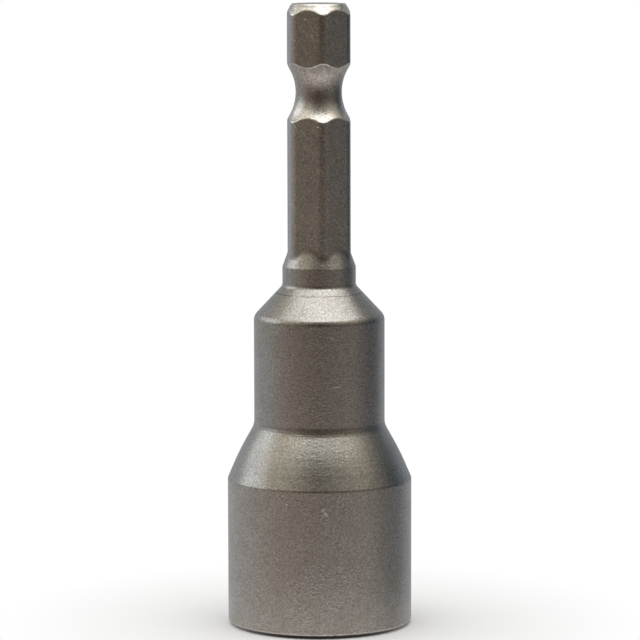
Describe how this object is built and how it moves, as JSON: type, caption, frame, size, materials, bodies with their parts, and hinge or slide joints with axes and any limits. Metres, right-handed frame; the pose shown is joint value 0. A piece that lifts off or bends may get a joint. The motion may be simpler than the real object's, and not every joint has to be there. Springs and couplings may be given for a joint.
{
  "type": "magnetic nut setter",
  "caption": "Magnetic nut setter: hex drive shank with a latch groove, stepped round barrel and a hex nut socket with a spring-loaded magnet.",
  "frame": {"origin": "centre of the socket mouth, in the plane of the rim that the setter stands on", "axes": "+Z along the setter's axis from the mouth to the end of the shank; +X square to one flat of the shank and of the nut recess"},
  "size_m": [0.0192, 0.0192, 0.065],
  "materials": {
    "satin_steel": "bead-blasted satin grey steel with a warm cast, edges worn brighter",
    "turned_steel": "fine turned steel",
    "spring_steel": "drawn spring wire",
    "nickel_plate": "nickel plate"
  },
  "bodies": {
    "setter": {"body": "satin_steel", "retaining_ring": "spring_steel", "spring": "spring_steel"},
    "magnet_carrier": {"magnet_cup": "turned_steel", "magnet": "nickel_plate"}
  },
  "joints": [
    {"name": "magnet_retract", "type": "slide", "parent": "setter", "child": "magnet_carrier", "axis": [0, 0, 1], "range_m": [0, 0.006], "stiffness_N_per_m": 380, "springref_m": -0.003, "deforming": ["spring"]}
  ]
}
